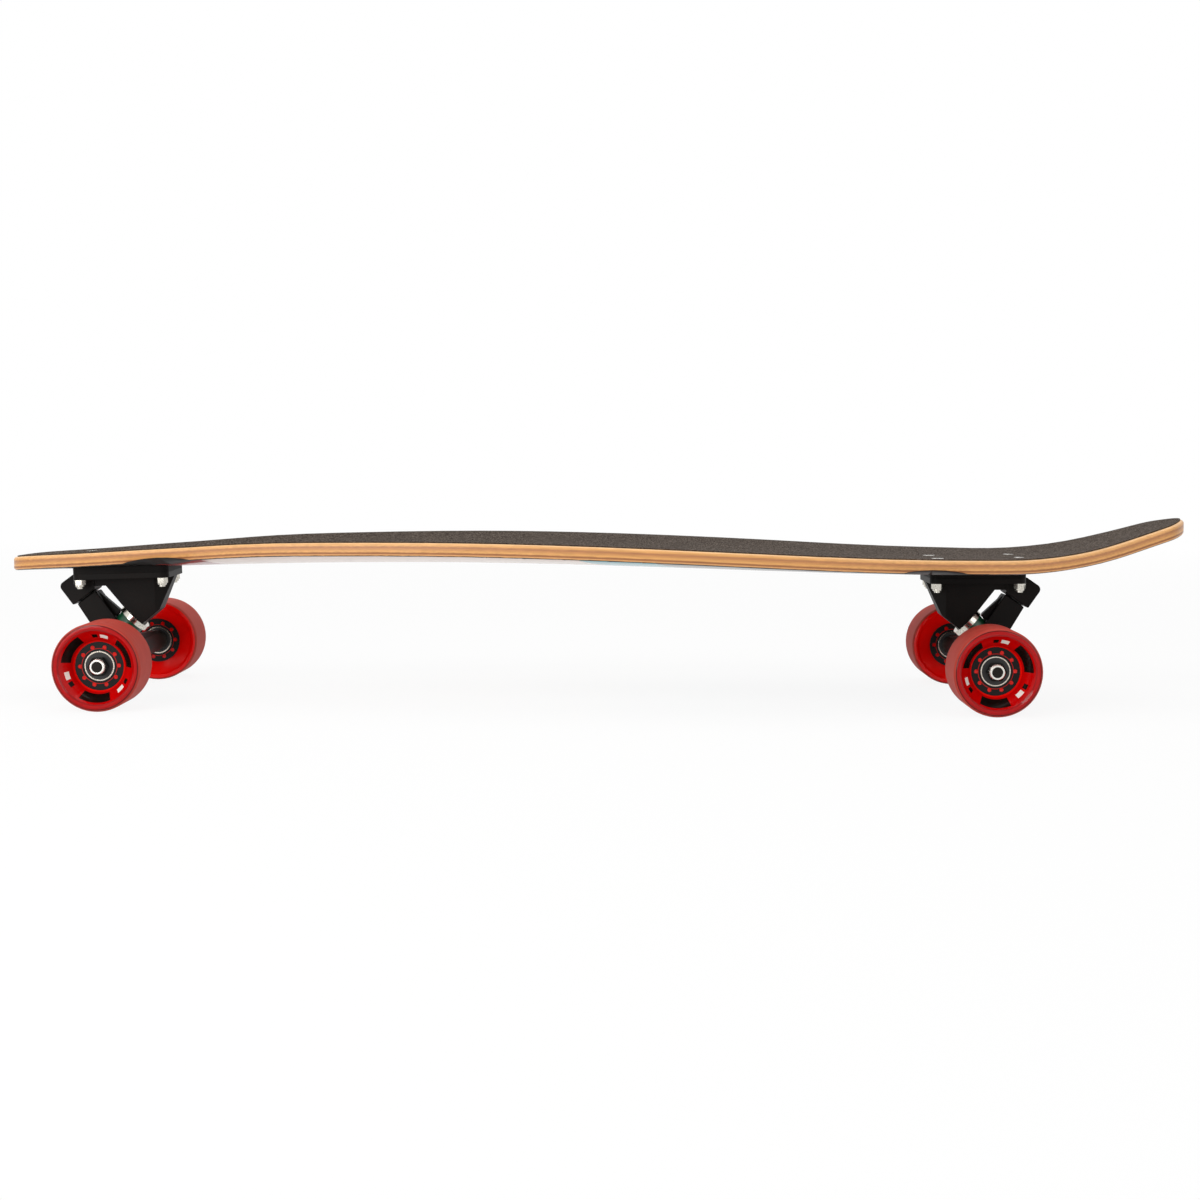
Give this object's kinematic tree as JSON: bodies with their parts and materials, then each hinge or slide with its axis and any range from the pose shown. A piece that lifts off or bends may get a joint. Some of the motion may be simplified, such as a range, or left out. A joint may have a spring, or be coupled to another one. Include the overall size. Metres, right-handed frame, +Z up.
{
  "type": "longboard skateboard",
  "caption": "Pintail-style longboard: cambered plywood deck with a kicktail, grip tape, sprung steering trucks on riser pads and cored red urethane wheels on ball bearings.",
  "frame": {"origin": "on the floor under the middle of the deck's length, in the middle plane", "axes": "+X runs from the nose to the kicktail, +Z is up, and -Y is the rider's left when facing the nose"},
  "size_m": [0.9108, 0.2306, 0.1412],
  "materials": {
    "plywood": "clear-coated maple plies, satin",
    "grip": "gritty abrasive sheet",
    "zinc": "bright zinc plate",
    "steel": "ground steel",
    "dark_steel": "black oxide steel",
    "black_casting": "cast aluminium with a satin black coat",
    "black_rubber": "moulded rubber",
    "pivot_plastic": "moulded plastic",
    "bushing": "cast urethane, dark green",
    "wheel_urethane": "cast red urethane, glossy faces and a ground tread",
    "core": "moulded nylon",
    "bearing_steel": "polished bearing steel",
    "cage": "moulded nylon",
    "shield": "moulded seal"
  },
  "bodies": {
    "board": {"deck": "plywood", "grip_tape": "grip", "mounting_bolts": "zinc", "mounting_nuts": "zinc", "front_riser_pad": "black_rubber", "front_baseplate": "black_casting", "front_pivot_cup": "pivot_plastic", "front_kingpin": "dark_steel", "front_kingpin_nut": "zinc", "front_upper_bushing": "bushing", "front_lower_bushing": "bushing", "front_cup_washers": "zinc", "rear_riser_pad": "black_rubber", "rear_baseplate": "black_casting", "rear_pivot_cup": "pivot_plastic", "rear_kingpin": "dark_steel", "rear_kingpin_nut": "zinc", "rear_upper_bushing": "bushing", "rear_lower_bushing": "bushing", "rear_cup_washers": "zinc"},
    "front_hanger": {"front_hanger": "black_casting", "front_axle": "steel", "front_axle_nuts": "zinc", "front_speed_washers": "zinc", "front_left_bearing_inner_rings": "bearing_steel", "front_left_bearing_spacer": "steel", "front_right_bearing_inner_rings": "bearing_steel", "front_right_bearing_spacer": "steel"},
    "rear_hanger": {"rear_hanger": "black_casting", "rear_axle": "steel", "rear_axle_nuts": "zinc", "rear_speed_washers": "zinc", "rear_left_bearing_inner_rings": "bearing_steel", "rear_left_bearing_spacer": "steel", "rear_right_bearing_inner_rings": "bearing_steel", "rear_right_bearing_spacer": "steel"},
    "front_left_wheel": {"front_left_tyre": "wheel_urethane", "front_left_core": "core", "front_left_bearing_outer_rings": "bearing_steel", "front_left_bearing_balls": "bearing_steel", "front_left_bearing_cages": "cage", "front_left_bearing_shields": "shield"},
    "front_right_wheel": {"front_right_tyre": "wheel_urethane", "front_right_core": "core", "front_right_bearing_outer_rings": "bearing_steel", "front_right_bearing_balls": "bearing_steel", "front_right_bearing_cages": "cage", "front_right_bearing_shields": "shield"},
    "rear_left_wheel": {"rear_left_tyre": "wheel_urethane", "rear_left_core": "core", "rear_left_bearing_outer_rings": "bearing_steel", "rear_left_bearing_balls": "bearing_steel", "rear_left_bearing_cages": "cage", "rear_left_bearing_shields": "shield"},
    "rear_right_wheel": {"rear_right_tyre": "wheel_urethane", "rear_right_core": "core", "rear_right_bearing_outer_rings": "bearing_steel", "rear_right_bearing_balls": "bearing_steel", "rear_right_bearing_cages": "cage", "rear_right_bearing_shields": "shield"}
  },
  "joints": [
    {"name": "front_steer", "type": "hinge", "parent": "board", "child": "front_hanger", "pos_m": [-0.40352, 0, 0.08112], "axis": [0.5976, 0, -0.8018], "range_deg": [-20, 20], "stiffness_Nm_per_rad": 30, "deforming": ["front_upper_bushing", "front_lower_bushing"]},
    {"name": "front_left_spin", "type": "hinge", "parent": "front_hanger", "child": "front_left_wheel", "pos_m": [-0.3632, 0, 0.0325], "axis": [0, 1, 0], "continuous": true},
    {"name": "front_right_spin", "type": "hinge", "parent": "front_hanger", "child": "front_right_wheel", "pos_m": [-0.3632, 0, 0.0325], "axis": [0, 1, 0], "continuous": true},
    {"name": "rear_steer", "type": "hinge", "parent": "board", "child": "rear_hanger", "pos_m": [0.33056, 0, 0.08283], "axis": [-0.562, 0, -0.8271], "range_deg": [-20, 20], "stiffness_Nm_per_rad": 30, "deforming": ["rear_upper_bushing", "rear_lower_bushing"]},
    {"name": "rear_left_spin", "type": "hinge", "parent": "rear_hanger", "child": "rear_left_wheel", "pos_m": [0.2924, 0, 0.0325], "axis": [0, 1, 0], "continuous": true},
    {"name": "rear_right_spin", "type": "hinge", "parent": "rear_hanger", "child": "rear_right_wheel", "pos_m": [0.2924, 0, 0.0325], "axis": [0, 1, 0], "continuous": true}
  ]
}
